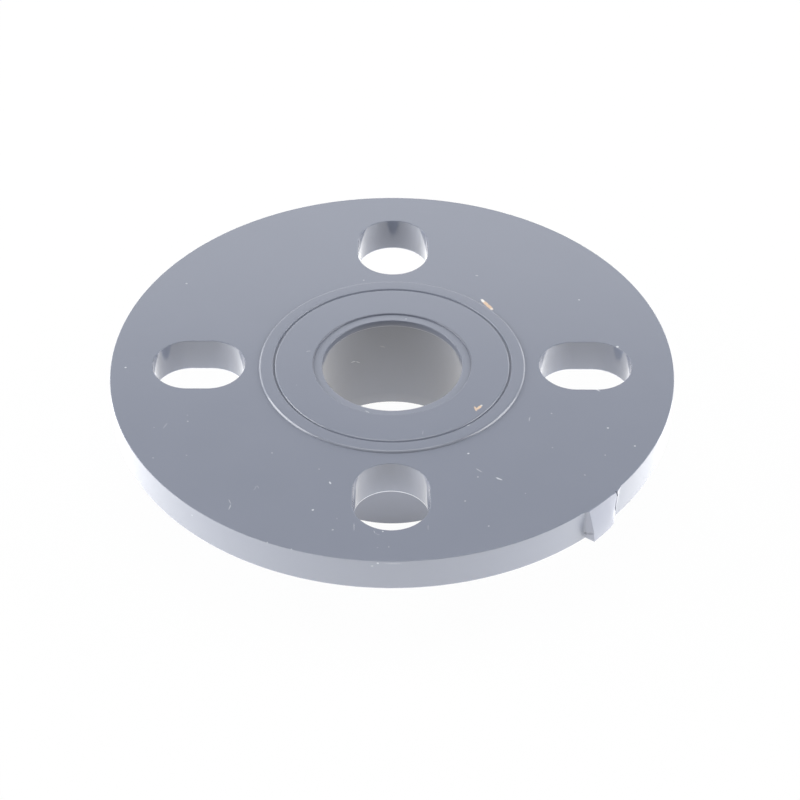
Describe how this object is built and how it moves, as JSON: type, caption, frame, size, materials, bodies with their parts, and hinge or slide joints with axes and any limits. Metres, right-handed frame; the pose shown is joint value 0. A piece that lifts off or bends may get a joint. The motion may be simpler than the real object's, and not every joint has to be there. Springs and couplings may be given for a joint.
{
  "type": "full face pipe flange",
  "caption": "Full face flange with a socket hub for solvent cemented plastic pipe, slotted bolt holes and a raised gasket seat with a sealing groove.",
  "frame": {"origin": "centre of the hub's foot, on the pipe axis", "axes": "+Z along the pipe axis, out of the gasket face; +X and +Y each through the middle of a bolt slot"},
  "size_m": [0.14, 0.14, 0.0312],
  "materials": {
    "body": "semi-gloss moulded grey PVC"
  },
  "bodies": {
    "root": {"flange": "body"}
  },
  "joints": []
}
